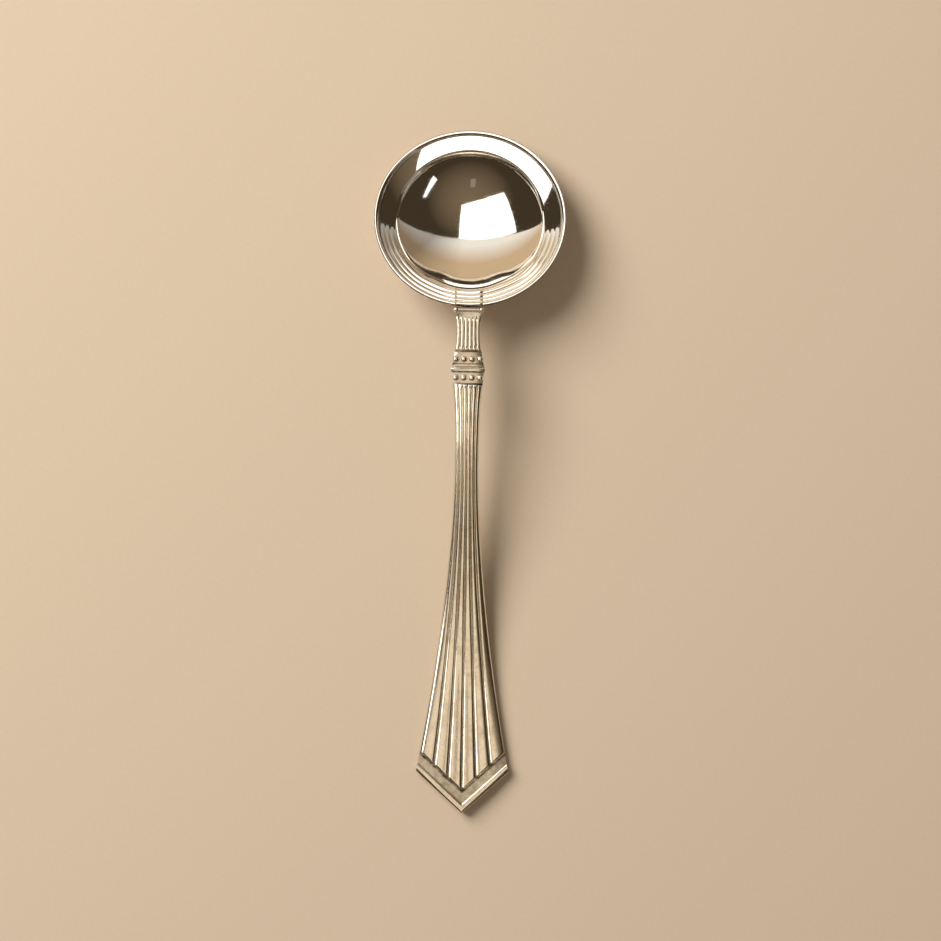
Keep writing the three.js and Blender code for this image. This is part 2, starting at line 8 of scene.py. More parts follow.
import bmesh
import bpy
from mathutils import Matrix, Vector


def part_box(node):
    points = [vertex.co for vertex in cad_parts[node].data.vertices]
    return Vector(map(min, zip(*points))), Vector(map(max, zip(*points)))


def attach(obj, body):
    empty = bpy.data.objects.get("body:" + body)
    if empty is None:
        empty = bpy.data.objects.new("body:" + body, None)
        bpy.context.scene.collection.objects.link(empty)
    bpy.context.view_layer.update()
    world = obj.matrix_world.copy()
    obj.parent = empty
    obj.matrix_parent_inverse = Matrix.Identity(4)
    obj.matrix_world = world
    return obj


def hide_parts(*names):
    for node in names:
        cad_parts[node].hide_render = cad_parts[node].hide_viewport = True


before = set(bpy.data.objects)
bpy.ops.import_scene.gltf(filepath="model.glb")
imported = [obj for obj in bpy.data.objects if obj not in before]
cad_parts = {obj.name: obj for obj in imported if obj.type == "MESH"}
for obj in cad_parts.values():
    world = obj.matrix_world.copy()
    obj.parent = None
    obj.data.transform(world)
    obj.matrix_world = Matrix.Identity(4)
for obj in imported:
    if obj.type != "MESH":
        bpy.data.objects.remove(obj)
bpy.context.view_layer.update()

MM = 0.001


def lerp(a, b, t):
    return a + (b - a) * t


def clamp(x, low=0.0, high=1.0):
    return max(low, min(high, x))


def smoothstep(x, start, end):
    t = clamp((x - start) / (end - start))
    return t * t * (3 - 2 * t)


# ---------- sizes of the ladle, as in the solid model ----------

film = 0.05  # gap between two soldered pieces
rim_radius = (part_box("rim_wire")[1] / MM).x
ladle_length = 180
bowl_tilt = math.radians(12)
bowl_length = 48.0
flange_width, flange_rise = 5.65, 2.15
flange_rise_to_handle, flange_rise_at_sides = 0.9, 0.85
flange_lip_slope = math.radians(18)
basin_edge_inset, basin_edge_below, basin_depth = 0.5, 3.3, 6.45
bowl_wall, foot_radius, lip_radius = 0.9, 4.5, 0.45
reed_rings, ring_height, ring_reach = 3, 0.28, math.radians(88)
lip_pinch, lip_pinch_place, lip_pinch_spread = 0.3, math.radians(25), math.radians(11)
wire_width, wire_height, wire_skirt = 1.4, 0.62, 0.45
saddle_width, saddle_thickness, saddle_reed = 7.2, 0.5, 0.22

upper_low, upper_high = (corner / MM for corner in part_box("upper_collar_band"))
ring_low, ring_high = (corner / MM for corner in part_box("collar_ring"))
lower_low, lower_high = (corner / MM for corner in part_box("lower_collar_band"))
front_low, front_high = (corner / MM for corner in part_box("handle_front_shell"))

neck_root_y, neck_end_y = (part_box("neck_and_tang")[1] / MM).y, upper_high.y + film
mouth_y, point_y = front_high.y, front_low.y
shoulder_width = 2 * front_high.x
chevron = math.radians(41.7)
arm_rise = math.tan(chevron)
corner_y = point_y + shoulder_width / 2 * arm_rise
handle_length = mouth_y - corner_y
rest_length = 30  # of the handle's tip lies flat on the table
rest_end_y = corner_y + rest_length - shoulder_width / 2 * arm_rise
reed_count = 6

# ---------- the bowl's frame ----------

lip_place = rim_radius - flange_width
oval = bowl_length / (2 * rim_radius)
basin_edge = lip_place - basin_edge_inset
basin_radius = (basin_edge**2 + basin_depth**2) / (2 * basin_depth)
basin_centre = basin_radius - basin_depth - basin_edge_below
outer_radius = basin_radius + bowl_wall
foot_sink = outer_radius - math.sqrt(outer_radius**2 - foot_radius**2)
rim_height = outer_radius - foot_sink - basin_centre * math.cos(bowl_tilt)
rim_centre = ladle_length / 2 - bowl_length / 2 * math.cos(bowl_tilt)


def from_bowl(across, forth, up):
    """A point of the bowl's own frame: forth runs away from the handle, up is the bowl's axis."""
    return (
        across,
        rim_centre + forth * math.cos(bowl_tilt) + up * math.sin(bowl_tilt),
        rim_height - forth * math.sin(bowl_tilt) + up * math.cos(bowl_tilt),
    )


def sway(radius, from_handle):
    """How far the flange stands above its average height: it is flattest at the far end."""
    at_lip = flange_rise_at_sides * math.cos(2 * from_handle) - flange_rise_to_handle * math.cos(from_handle)
    outwards = 1 - clamp((radius - lip_place) / flange_width)
    return at_lip * min(outwards, clamp((radius - basin_edge) / basin_edge_inset))


def flange_top(radius):
    t = (radius - lip_place) / flange_width
    even = flange_width * math.tan(flange_lip_slope)
    return -flange_rise + even * t + (flange_rise - even) * t * t


def flange_under(radius):
    return min(flange_top(radius) - bowl_wall, basin_centre - math.sqrt(outer_radius**2 - radius**2))


def pinch(radius, from_handle):
    """The lip is drawn in a little on each side of the handle."""
    if radius > lip_place:
        near_lip = 1 - (radius - lip_place) / flange_width
    else:
        near_lip = smoothstep(radius, lip_place / 2, lip_place)
    beside = (abs(from_handle) - lip_pinch_place) / lip_pinch_spread
    return lip_pinch * clamp(near_lip) * math.exp(-(beside**2))


wire_inner = rim_radius - wire_width
rings_start = lip_place + 0.75


def flange_rings(radius, from_handle):
    """Height of the reeds on the flange, which fade out away from the handle."""
    t = (radius - rings_start) / (wire_inner - rings_start)
    if not 0 < t < 1 or abs(from_handle) > ring_reach:
        return 0.0
    fade = math.cos(from_handle / ring_reach * math.pi / 2)
    return ring_height * fade * abs(math.sin(math.pi * reed_rings * t))


def beside_handle(across, radius, up):
    from_handle = math.asin(clamp(across / radius, -1, 1))
    forth = -radius * math.cos(from_handle) * oval + pinch(radius, from_handle)
    return from_bowl(across, forth, up + sway(radius, from_handle))


# ---------- the spine of neck and handle ----------

neck_seat, neck_fall, tip_back = 2.2, 0.0045, 1.15
ring_end_y = ring_low.y
rim_edge_height = from_bowl(0, -bowl_length / 2, 0)[2]
spine_crest = rim_edge_height - neck_seat + neck_fall * (neck_root_y - ring_end_y) ** 2


def spine(y):
    if y > ring_end_y:
        return spine_crest - neck_fall * (y - ring_end_y) ** 2
    return lerp(tip_back + film / 2, spine_crest, smoothstep(y, rest_end_y, ring_end_y))


def on_spine(across, y, height):
    return across, y, spine(y) + height


# ---------- mesh helpers ----------


def placed(bm, place):
    """Moves every vertex to place(x, y, z), which answers in millimetres. A fourth number, 0 to 1, darkens it
    towards the dark colour: the sulphide that gathers in hollows, and painted shade in grooves, creases,
    joins and on sides turned away from the light."""
    sulphide_and_shade = bm.verts.layers.float.new("sulphide_and_shade")
    for v in bm.verts:
        spot = place(*v.co)
        v.co = Vector(spot[:3]) * MM
        v[sulphide_and_shade] = spot[3] if len(spot) > 3 else 0.0
    bmesh.ops.remove_doubles(bm, verts=bm.verts, dist=1e-7)
    bmesh.ops.recalc_face_normals(bm, faces=bm.faces)
    return bm


def block(columns, rows, place):
    """A closed slab of columns by rows faces: place is given the column, the row, and 0 below or 1 above."""
    bm = bmesh.new()
    bmesh.ops.create_grid(bm, x_segments=columns, y_segments=rows, size=0.5)
    lifted = bmesh.ops.extrude_face_region(bm, geom=bm.faces[:])
    for v in lifted["geom"]:
        if isinstance(v, bmesh.types.BMVert):
            v.co.z = 1
    return placed(bm, lambda x, y, z: place(round((x + 0.5) * columns), round((y + 0.5) * rows), round(z)))


def turned(profile, steps, place):
    """A closed profile of (radius, height) points spun round the Z axis, then moved by place."""
    bm = bmesh.new()
    verts = [bm.verts.new((radius, 0, height)) for radius, height in profile]
    edges = [bm.edges.new(pair) for pair in zip(verts, verts[1:])]
    if profile[0][0] > 0:
        edges.append(bm.edges.new((verts[-1], verts[0])))
    bmesh.ops.spin(
        bm, geom=verts + edges, cent=(0, 0, 0), axis=(0, 0, 1), angle=2 * math.pi, steps=steps, use_merge=True
    )
    bmesh.ops.remove_doubles(bm, verts=bm.verts, dist=1e-5)
    return placed(bm, place)


def arc(centre, radius, start, end, steps):
    """Points of an arc in (radius, height): angles in degrees from straight out."""
    angles = [math.radians(lerp(start, end, i / steps)) for i in range(steps + 1)]
    return [(centre[0] + radius * math.cos(a), centre[1] + radius * math.sin(a)) for a in angles]


def rounded(a, corner, b, steps):
    """Points that turn a corner smoothly, from a to b."""
    points = []
    for i in range(steps + 1):
        t = i / steps
        points.append(
            tuple((1 - t) ** 2 * a[k] + 2 * t * (1 - t) * corner[k] + t * t * b[k] for k in (0, 1))
        )
    return points


def finished(name, bm, material, nodes, sharp=40):
    """Makes a piece of the mesh, with crisp edges where it turns by more than sharp degrees."""
    mesh = bpy.data.meshes.new(name)
    bm.to_mesh(mesh)
    bm.free()
    mesh.polygons.foreach_set("use_smooth", [True] * len(mesh.polygons))
    mesh.set_sharp_from_angle(angle=math.radians(sharp))
    piece = bpy.data.objects.new(name, mesh)
    bpy.context.collection.objects.link(piece)
    mesh.materials.append(material)
    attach(piece, "root")
    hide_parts(*nodes)
    return piece


# ---------- materials ----------


def colour(code):
    """Linear colour of an sRGB hex value."""
    parts = [int(code[i : i + 2], 16) / 255 for i in (1, 3, 5)]
    return tuple(c / 12.92 if c <= 0.04045 else ((c + 0.055) / 1.055) ** 2.4 for c in parts) + (1.0,)


def add_node(tree, kind, inputs=None, **settings):
    """Adds a node. An input that is a socket is linked, and any other value is set."""
    made = tree.nodes.new("ShaderNode" + kind)
    for name, value in settings.items():
        setattr(made, name, value)
    for name, value in (inputs or {}).items():
        if isinstance(value, bpy.types.NodeSocket):
            tree.links.new(value, made.inputs[name])
        else:
            made.inputs[name].default_value = value
    return made


def silver(name, clean, dull, sulphide_and_shade_colour, roughness, dull_size, dull_share, scratch_depth):
    """Sterling silver. clean to dull is the film that handling leaves, in patches of dull_size mm. The dark
    colour is partly the brown sulphide that stays in the hollows and partly painted shade, laid on by the
    mesh's mask.
    Fine scratches run in two directions."""
    material = bpy.data.materials.new(name)
    material.use_nodes = True
    tree = material.node_tree
    shader = tree.nodes["Principled BSDF"]
    shader.inputs["Metallic"].default_value = 1.0
    place = add_node(tree, "TexCoord").outputs["Object"]
    patches = add_node(
        tree, "TexNoise", {"Vector": place, "Scale": 1 / (dull_size * MM), "Detail": 6.0, "Roughness": 0.62}
    ).outputs["Fac"]
    patches = add_node(
        tree,
        "MapRange",
        {"Value": patches, "From Min": 0.42, "From Max": 0.68, "To Min": 0.0, "To Max": dull_share},
        interpolation_type="SMOOTHSTEP",
    ).outputs["Result"]
    body = add_node(
        tree, "Mix", {"Factor": patches, "A": colour(clean), "B": colour(dull)}, data_type="RGBA"
    )
    # The mesh's mask, broken up by noise: tarnish in the hollows and painted shade in grooves, creases and
    # joins.
    sulphide_and_shade = add_node(tree, "Attribute", attribute_name="sulphide_and_shade").outputs["Fac"]
    sulphide_and_shade_factor = add_node(
        tree, "TexNoise", {"Vector": place, "Scale": 1 / (1.3 * MM), "Detail": 4.0}
    ).outputs["Fac"]
    sulphide_and_shade = add_node(tree, "Math", {0: sulphide_and_shade, 1: sulphide_and_shade_factor}, operation="MULTIPLY").outputs[0]
    sulphide_and_shade = add_node(tree, "Math", {0: sulphide_and_shade, 1: 1.7}, operation="MULTIPLY", use_clamp=True).outputs[0]
    sulphide_and_shade_mix = {"Factor": sulphide_and_shade, "A": body.outputs["Result"], "B": colour(sulphide_and_shade_colour)}
    body = add_node(tree, "Mix", sulphide_and_shade_mix, data_type="RGBA")
    tree.links.new(body.outputs["Result"], shader.inputs["Base Color"])
    # scratches about 4 mm long and from 0.07 to 0.5 mm apart
    scratch = None
    for turn, stretch in ((0.5, (1500, 12000, 1500)), (1.9, (1200, 10000, 1200))):
        lie = add_node(tree, "Mapping", {"Vector": place, "Rotation": (0.0, 0.0, turn), "Scale": stretch})
        lines = {"Vector": lie.outputs["Vector"], "Scale": 0.16, "Detail": 3.0, "Roughness": 0.7}
        line = add_node(tree, "TexNoise", lines).outputs["Fac"]
        if scratch is None:
            scratch = line
        else:
            scratch = add_node(tree, "Math", {0: scratch, 1: line}, operation="ADD").outputs[0]
    spread = add_node(
        tree,
        "MapRange",
        {"Value": scratch, "From Min": 0.8, "From Max": 1.3, "To Min": roughness, "To Max": roughness + 0.06},
    ).outputs["Result"]
    spread = add_node(tree, "Math", {0: patches, 1: 0.12, 2: spread}, operation="MULTIPLY_ADD").outputs[0]
    spread = add_node(tree, "Math", {0: sulphide_and_shade, 1: 0.25, 2: spread}, operation="MULTIPLY_ADD").outputs[0]
    tree.links.new(spread, shader.inputs["Roughness"])
    # polished sheet is never quite even: waves 7 mm long
    waves = add_node(tree, "TexNoise", {"Vector": place, "Scale": 1 / (7 * MM), "Detail": 1.0}).outputs["Fac"]
    swell = add_node(tree, "Bump", {"Height": waves, "Strength": 1.0, "Distance": 0.00002})
    relief = {"Height": scratch, "Strength": 1.0, "Distance": scratch_depth * MM}
    fine = add_node(tree, "Bump", {**relief, "Normal": swell.outputs["Normal"]})
    tree.links.new(fine.outputs["Normal"], shader.inputs["Normal"])
    return material


# The bowl is buffed to a mirror: sharp reflections, with a faint haze of fine scratches.
polished_silver = silver("polished_sterling_silver", "#FAF6EF", "#EDE5D8", "#6B5A44", 0.03, 9.0, 0.15, 0.0001)
# The handle is rubbed by the hand: soft reflections in cloudy patches, and dark lines down the grooves, of
# tarnish and painted shade.
worn_silver = silver("handled_sterling_silver", "#F4EEE2", "#D6C9B4", "#4A3C2B", 0.15, 4.5, 0.5, 0.0005)
# The collar's bands are protected by their beads: warmer and duller, almost black where they meet, with
# tarnish and painted shade in the joins.
oxidised_and_shaded_silver = silver("oxidised_and_shaded_sterling_silver", "#F2EADC", "#D6C8B0", "#3A2E20", 0.2, 3.0, 0.5, 0.0006)


def resin_cement():
    """Brown shellac and brick-dust cement: matt, grainy, with a crust of small grit."""
    material = bpy.data.materials.new("brown_resin_cement")
    material.use_nodes = True
    tree = material.node_tree
    shader = tree.nodes["Principled BSDF"]
    place = add_node(tree, "TexCoord").outputs["Object"]
    grit_size = 0.6 * MM
    grit = add_node(tree, "TexNoise", {"Vector": place, "Scale": 1 / grit_size, "Detail": 5.0}).outputs["Fac"]
    body = add_node(
        tree, "Mix", {"Factor": grit, "A": colour("#3A281B"), "B": colour("#7A5B40")}, data_type="RGBA"
    )
    tree.links.new(body.outputs["Result"], shader.inputs["Base Color"])
    shader.inputs["Roughness"].default_value = 0.85
    crust = add_node(tree, "Bump", {"Height": grit, "Strength": 0.6, "Distance": 0.0001})
    tree.links.new(crust.outputs["Normal"], shader.inputs["Normal"])
    return material


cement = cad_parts["handle_cement"]
cement.data.materials.clear()
cement.data.materials.append(resin_cement())

# ---------- bowl ----------

ROUND = 256


def bowl_profile():
    reach = math.degrees(math.asin(basin_edge / basin_radius))
    inside = arc((0, basin_centre), basin_radius, -90, reach - 90, 44)
    inside[0] = (0, inside[0][1])
    over = (lip_place + lip_radius, flange_top(lip_place + lip_radius))
    lip = rounded(inside[-1], (lip_place - 0.1, 0.05 - flange_rise), over, 8)
    edge = rim_radius - 0.35
    spread = [lerp(over[0], edge, i / 60) for i in range(1, 61)]
    top = [(radius, flange_top(radius)) for radius in spread]
    turn = [lerp(edge, lip_place + bowl_wall, i / 14) for i in range(15)]
    below = [(radius, flange_under(radius)) for radius in turn]
    join = math.degrees(math.asin((lip_place + bowl_wall) / outer_radius))
    shell = arc((0, basin_centre), outer_radius, join - 90, -90, 40)
    shell[-1] = (0, shell[-1][1])
    return inside[:-1] + lip + top + below + shell[1:]


def on_bowl(x, y, z):
    radius, from_handle = math.hypot(x, y), math.atan2(x, -y)
    rings = 0.0
    if radius > lip_place and abs(z - flange_top(radius)) < 1e-4:
        rings = flange_rings(radius, from_handle)
    # Painted shade with some tarnish: the flange darkens in the crease along the wire's inner edge.
    near_wire = 1 - clamp(abs(radius - wire_inner) / 0.3)
    up = z + rings + sway(radius, from_handle)
    return from_bowl(x, y * oval + pinch(radius, from_handle), up) + (0.6 * near_wire,)


bowl = turned(bowl_profile(), ROUND, on_bowl)
# the foot is ground flat
whole_bowl = bowl.verts[:] + bowl.edges[:] + bowl.faces[:]
bmesh.ops.bisect_plane(bowl, geom=whole_bowl, plane_co=(0, 0, 0), plane_no=(0, 0, -1), clear_outer=True)
bmesh.ops.holes_fill(bowl, edges=[e for e in bowl.edges if e.is_boundary], sides=0)
bowl_pieces = [finished("bowl", bowl, polished_silver, ["bowl"])]


def wire_profile():
    points = []
    for radius, height in arc((rim_radius - wire_width / 2, 0), wire_width / 2, 0, 180, 24):
        seat = flange_top(min(radius, rim_radius)) + film + 0.06
        points.append((radius, seat + height * wire_height / (wire_width / 2)))
    inner = rim_radius - 0.3 + film
    seat = flange_top(rim_radius - 0.3) + film
    points.append((wire_inner, flange_top(wire_inner) + film))
    points.append((inner, seat))
    hem = seat - wire_skirt
    points.append((inner, hem))
    return points + rounded((inner + 0.08, hem), (rim_radius, hem), (rim_radius, seat - 0.2), 4)


def on_rim(x, y, z):
    radius = math.hypot(x, y)
    # Painted shade: the outer side of the wire is darkened towards the dark colour.
    outside = clamp((radius - rim_radius + 0.3) / 0.3)
    return from_bowl(x, y * oval, z + sway(radius, math.atan2(x, -y))) + (0.9 * outside,)


wire_mesh = turned(wire_profile(), ROUND, on_rim)
bowl_pieces.append(finished("rim_wire", wire_mesh, polished_silver, ["rim_wire"], 60))

# ---------- saddle, shoulder bar and heel ----------


def saddle_place(column, row, above):
    u, v = column / 24, row / 72
    across = (u - 0.5) * saddle_width
    radius = lerp(rim_radius - 0.05, lip_place + 0.55, v)
    over_wire = (wire_height + 0.16) * (1 - smoothstep(wire_inner - radius, -0.1, 0.4))
    clear = flange_top(radius) + max(ring_height + film, over_wire)
    reeds = saddle_reed * abs(math.sin(math.pi * (reed_rings + 1) * v))
    edge = 0.3 * max(abs(2 * u - 1) ** 14, abs(2 * v - 1) ** 40)
    up = clear + above * (saddle_thickness + reeds - edge)
    # The fourth number darkens the grooves between the saddle's reeds: tarnish and painted shade.
    return beside_handle(across, radius, up) + (0.7 - 4 * reeds,)


saddle_mesh = block(24, 72, saddle_place)
saddle = finished("rim_saddle", saddle_mesh, polished_silver, ["rim_saddle"], 50)
bowl_pieces.append(saddle)

bar_low, bar_high = (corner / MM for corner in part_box("shoulder_bar"))
bar_centre = (bar_low + bar_high) / 2
bar_half, ball_radius, bar_radius = bar_high.x, 0.72, 0.5


def bar_profile():
    side = arc((0, bar_half - ball_radius), ball_radius, 90, -46, 12)
    side[0] = (0, bar_half)
    side.append((bar_radius, bar_half - 2 * ball_radius - 0.1))
    return side + [(radius, -height) for radius, height in reversed(side)]


bar_piece = finished(
    "shoulder_bar",
    turned(bar_profile(), 32, lambda x, y, z: (z, bar_centre.y + x, bar_centre.z + y)),
    polished_silver,
    ["shoulder_bar"],
)

HEEL_BEND, HEEL_ARM = 16, 8
heel_reach, heel_thickness = math.radians(26), 1.2
heel_low_width, heel_high_width = 3.0, 5.6
neck_root_below = 2.75


def beside_neck(y, z):
    forth = (y - rim_centre) * math.cos(bowl_tilt) - (z - rim_height) * math.sin(bowl_tilt)
    up = (y - rim_centre) * math.sin(bowl_tilt) + (z - rim_height) * math.cos(bowl_tilt)
    return -forth / oval, up


def heel_stops():
    """Pairs of points (radius, height) up the tongue: against the bowl, and on its free side."""
    outer = outer_radius + film
    join = math.asin((lip_place + bowl_wall) / outer)
    stops = []
    for i in range(HEEL_BEND + 1):
        angle = lerp(heel_reach, join, i / HEEL_BEND)
        thick = heel_thickness * lerp(0.35, 1, i / HEEL_BEND)
        near = (outer * math.sin(angle), basin_centre - outer * math.cos(angle))
        stops.append((near, (near[0] + thick * math.sin(angle), near[1] - thick * math.cos(angle))))
    last_far = stops[-1][1]
    foot = beside_neck(neck_root_y + 4 * film, spine(neck_root_y) - neck_root_below)
    for i in range(1, HEEL_ARM + 1):
        radius = lerp(lip_place + bowl_wall, rim_radius - film - 0.35, i / HEEL_ARM)
        far = tuple(lerp(last_far[k], foot[k], i / HEEL_ARM) for k in (0, 1))
        stops.append(((radius, flange_under(radius) - 2 * film - 0.04), far))
    return stops


stops = heel_stops()


def heel_place(column, row, below):
    near, far = stops[row]
    side = 2 * column / 20 - 1
    width = lerp(heel_low_width, heel_high_width, math.sqrt(row / (HEEL_BEND + HEEL_ARM)))
    across = side * width / 2
    deep = below * math.sqrt(1 - 0.75 * side**2)
    return beside_handle(across, lerp(near[0], far[0], deep), lerp(near[1], far[1], deep))


heel_mesh = block(20, HEEL_BEND + HEEL_ARM, heel_place)
bowl_pieces.append(finished("bowl_heel", heel_mesh, polished_silver, ["bowl_heel"], 50))

# ---------- reeds ----------

# Columns of one reed, as shares of its width: close together over its rounded edges.
EDGE_SHARES = (0.025, 0.05, 0.08, 0.12, 0.16, 0.21, 0.35)
REED_SHARES = (0,) + EDGE_SHARES + (0.5,) + tuple(1 - share for share in reversed(EDGE_SHARES))
REEDED_COLUMNS = reed_count * len(REED_SHARES)


def reed_spot(column):
    """Place of a column across the reeds, 0 to 1, and its distance from its reed's nearer edge, 0 to 0.5."""
    reed, part = divmod(column, len(REED_SHARES))
    share = REED_SHARES[part]
    return min(1.0, (reed + share) / reed_count), min(share, 1 - share)


def rounded_over(distance, bevel):
    """Height of an edge rounded over a width of bevel, at a distance from it: 0 at the foot and 1 on top."""
    return math.sin(math.pi / 2 * clamp(distance / bevel))


def chamfered(distance, foot, bevel):
    """The same for a wide reed: a steep foot, then a slope that shows as a bright or dark line."""
    if distance < foot:
        return 0.55 * rounded_over(distance, foot)
    return 0.55 + 0.45 * math.sin(math.pi / 2 * clamp((distance - foot) / (bevel - foot))) ** 0.9


def panel(*heights):
    """Joins the rounded edges of a reed's sides and ends, so that its corners are rounded too."""
    return max(0.0, 1 - math.sqrt(sum((1 - height) ** 2 for height in heights)))


# ---------- neck ----------

NECK_ROWS = 110
neck_reed_height = 0.28
neck_waist_width, neck_end_width = 5.8, 6.9
neck_crest, neck_camber, neck_belly = 1.85, 0.3, 1.9


def neck_width(y):
    t = (neck_root_y - y) / (neck_root_y - neck_end_y)
    spread = neck_end_width - neck_waist_width
    return neck_waist_width + spread * (1 - t) ** 3 + spread * t**4


def neck_place(column, row, above):
    y = lerp(neck_end_y, neck_root_y, (row / NECK_ROWS) ** 1.2)
    share, from_edge = reed_spot(column)
    side = 2 * share - 1
    half = neck_width(y) / 2
    t = (y - neck_end_y) / (neck_root_y - neck_end_y)
    if not above:
        depth = lerp(neck_belly, neck_root_below, t**2)
        return on_spine(side * half, y, -depth * math.sqrt(1 - 0.6 * side**4))
    # the grooves deepen gradually below the plain root, and each reed ends in a small swollen foot
    deep = smoothstep(neck_root_y - y, 1.7, 5.0)
    sides = 1 - deep * (1 - rounded_over(from_edge, 0.3))
    feet = rounded_over(y - neck_end_y - 0.15, 0.5)
    relief = panel(sides, feet)
    swollen = 0.1 * relief * math.exp(-(((y - neck_end_y - 0.85) / 0.4) ** 2))
    height = neck_crest - neck_reed_height * (1 - relief) - neck_camber * side**2 + swollen
    # The fourth number darkens the grooves between the reeds: tarnish and painted shade.
    return on_spine(side * half, y, height) + (clamp(1 - 2.6 * relief),)


neck_mesh = block(REEDED_COLUMNS, NECK_ROWS, neck_place)
handle_pieces = [
    bar_piece,
    finished("neck", neck_mesh, worn_silver, ["neck_and_tang"], 50),
]

# ---------- collar ----------

band_top, band_camber, cove_depth = 2.1, 0.55, 0.35
upper_band_length, lower_band_length = 3.95, 2.85
upper_band_width, lower_band_width, mouth_width = 8.5, 8.2, 7.8
ring_width, ring_top = 8.8, 2.6


def band(name, start_y, end_y, rows, width_at, top_at, sulphide_and_shade_at, material, below=2.15):
    def place(column, row, above):
        y = lerp(end_y, start_y, row / rows)
        side = 2 * column / 40 - 1
        height = top_at(y) - band_camber * side**2 if above else -below * math.sqrt(1 - 0.6 * side**4)
        return on_spine(side * width_at(y) / 2, y, height) + (sulphide_and_shade_at(y),)

    handle_pieces.append(finished(name, block(40, rows, place), material, [name], 50))


def upper_width(y):
    return lerp(upper_band_width, neck_end_width, clamp((y - upper_low.y) / upper_band_length) ** 0.8)


def upper_top(y):
    return band_top - cove_depth * (1 - smoothstep(y, upper_low.y + 0.3, upper_low.y + 1.3))


def lower_width(y):
    return lerp(mouth_width, lower_band_width, clamp((y - lower_low.y) / lower_band_length))


def swell(y):
    return math.sqrt(max(0.0, 1 - (2 * (y - ring_low.y) / (ring_high.y - ring_low.y) - 1) ** 2))


def ends_hollow(low, high):
    """Dark lines where a band meets its neighbours: sulphide and painted shade in the joins."""
    return lambda y: 0.05 + 0.6 * clamp(1 - min(y - low, high - y) / 0.3)


band(
    "upper_collar_band", upper_high.y, upper_low.y, 28, upper_width, upper_top,
    ends_hollow(upper_low.y, upper_high.y), oxidised_and_shaded_silver,
)
band(
    "lower_collar_band", lower_high.y, lower_low.y, 20, lower_width, lambda y: band_top,
    ends_hollow(lower_low.y, lower_high.y), oxidised_and_shaded_silver,
)
band(
    "collar_ring", ring_high.y, ring_low.y, 24,
    lambda y: ring_width - 0.5 * (1 - swell(y)), lambda y: ring_top - 0.4 * (1 - swell(y)),
    # The ring darkens towards its ends, where it meets the bands: tarnish and painted shade.
    lambda y: 0.8 * (1 - swell(y)) ** 2, worn_silver, below=2.4,
)


def bead(name):
    low, high = (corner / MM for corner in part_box(name))
    centre, radius, height = (low + high) / 2, (high.x - low.x) / 2, high.z - low.z
    dome = [(r * radius, z * height) for r, z in arc((0, 0), 1, 0, 90, 16)[:-1]] + [(0, height)]

    def place(x, y, z):
        # Each bead darkens towards its foot, a dark ring of tarnish and painted shade.
        return centre.x + x, centre.y + y, low.z + z, clamp(0.9 - 5 * z / height)

    bead_mesh = turned([(0, 0)] + dome, 40, place)
    handle_pieces.append(finished(name, bead_mesh, worn_silver, [name], 60))


for row_name in ("upper", "lower"):
    for number in range(1, 5):
        bead(row_name + "_bead_%d" % number)

# ---------- handle ----------

waist_from, flare = 20.4, 1.7
waist_width = 6.2
side_wall, waist_crown, tip_crown, crown_power = 0.8, 0.95, 1.0, 2.5
mouth_back, back_edge_round = 1.9, 0.35
reed_height, panel_camber = 0.42, 0.1
moulding_width, band_width = 1.75, 2.1
reed_end = corner_y + (moulding_width + band_width) / math.cos(chevron) * 0.98


def half_width(y):
    from_mouth = clamp(mouth_y - y, 0, handle_length)
    waist = waist_width / 2
    if from_mouth < waist_from:
        return waist + (mouth_width / 2 - waist) * (1 - from_mouth / waist_from) ** 3
    grown = ((from_mouth - waist_from) / (handle_length - waist_from)) ** flare
    return waist + (shoulder_width / 2 - waist) * grown


def row_place(edge_y, side):
    """Rows run straight across at the collar and bend into the chevron towards the tip."""
    bend = smoothstep(-edge_y, -(reed_end + 38), -reed_end)
    return edge_y - bend * half_width(edge_y) * arm_rise * (1 - abs(side))


def towards_tip(y):
    return smoothstep(-y, -(mouth_y - handle_length * 0.3), -corner_y)


def ground(side, y):
    return side_wall + lerp(waist_crown, tip_crown, towards_tip(y)) * (1 - abs(side) ** crown_power)


def back_depth(y):
    return lerp(mouth_back, tip_back, towards_tip(max(y, rest_end_y)) / towards_tip(rest_end_y))


def front_relief(from_edge, edge_y):
    """Reeds that are round at the waist and level as they widen, cut off at the chevron, with arched ends at
    the collar."""
    wide = smoothstep(half_width(edge_y), 3.2, 8.0)
    return panel(
        lerp(rounded_over(from_edge, 0.32), chamfered(from_edge, 0.05, 0.2), wide),
        rounded_over(edge_y - reed_end, 0.8),
        rounded_over(mouth_y - 0.25 - edge_y, 1.3),
    )


def edge_rows():
    """Edge y of each row, tip first, closer together where the reeds end."""
    spans = (
        (corner_y, corner_y + 0.4, 3),
        (corner_y + 0.8, reed_end - 0.25, 8),
        (reed_end - 0.1, reed_end + 0.9, 12),
        (reed_end + 1.3, mouth_y - 1.8, 150),
        (mouth_y - 1.6, mouth_y, 14),
    )
    return [lerp(start, end, i / steps) for start, end, steps in spans for i in range(steps + 1)]


rows = edge_rows()
WALL_COLUMNS = 4


